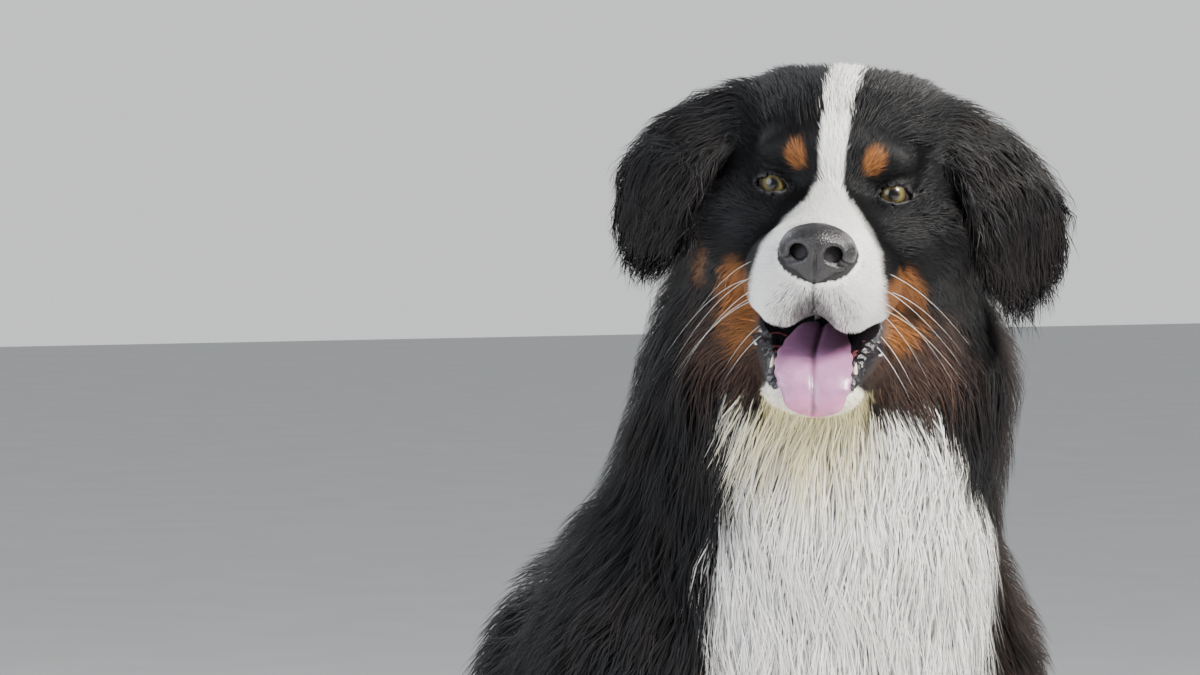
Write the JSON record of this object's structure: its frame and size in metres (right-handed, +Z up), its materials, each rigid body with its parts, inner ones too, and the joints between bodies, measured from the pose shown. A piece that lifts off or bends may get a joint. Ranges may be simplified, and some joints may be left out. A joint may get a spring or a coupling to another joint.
{
  "type": "sitting dog figure",
  "caption": "Life-size still model of a long-coated black, white and tan dog sitting on its haunches, head turned to its right, mouth open and tongue out.",
  "frame": {"origin": "middle of the base of the outline, on the floor", "axes": "+Z up, the chest faces -Y, the dog's own left is +X"},
  "size_m": [0.465, 0.895, 0.8833],
  "materials": {
    "coat": "long silky fur, black with white and tan markings",
    "eye": "wet, glossy",
    "nose_leather": "pebbled, moist",
    "tongue": "moist",
    "claw": "worn horn"
  },
  "bodies": {
    "root": {"claw_fore_left_1": "claw", "claw_fore_left_2": "claw", "claw_fore_left_3": "claw", "claw_fore_left_4": "claw", "claw_fore_right_1": "claw", "claw_fore_right_2": "claw", "claw_fore_right_3": "claw", "claw_fore_right_4": "claw", "claw_hind_left_1": "claw", "claw_hind_left_2": "claw", "claw_hind_left_3": "claw", "claw_hind_left_4": "claw", "claw_hind_right_1": "claw", "claw_hind_right_2": "claw", "claw_hind_right_3": "claw", "claw_hind_right_4": "claw", "ear_left": "coat", "ear_right": "coat", "eye_left": "eye", "eye_right": "eye", "foreleg_left": "coat", "foreleg_right": "coat", "head": "coat", "hindleg_left": "coat", "hindleg_right": "coat", "jaw": "coat", "neck": "coat", "nose": "nose_leather", "tail": "coat", "tongue": "tongue", "trunk": "coat"}
  },
  "joints": []
}
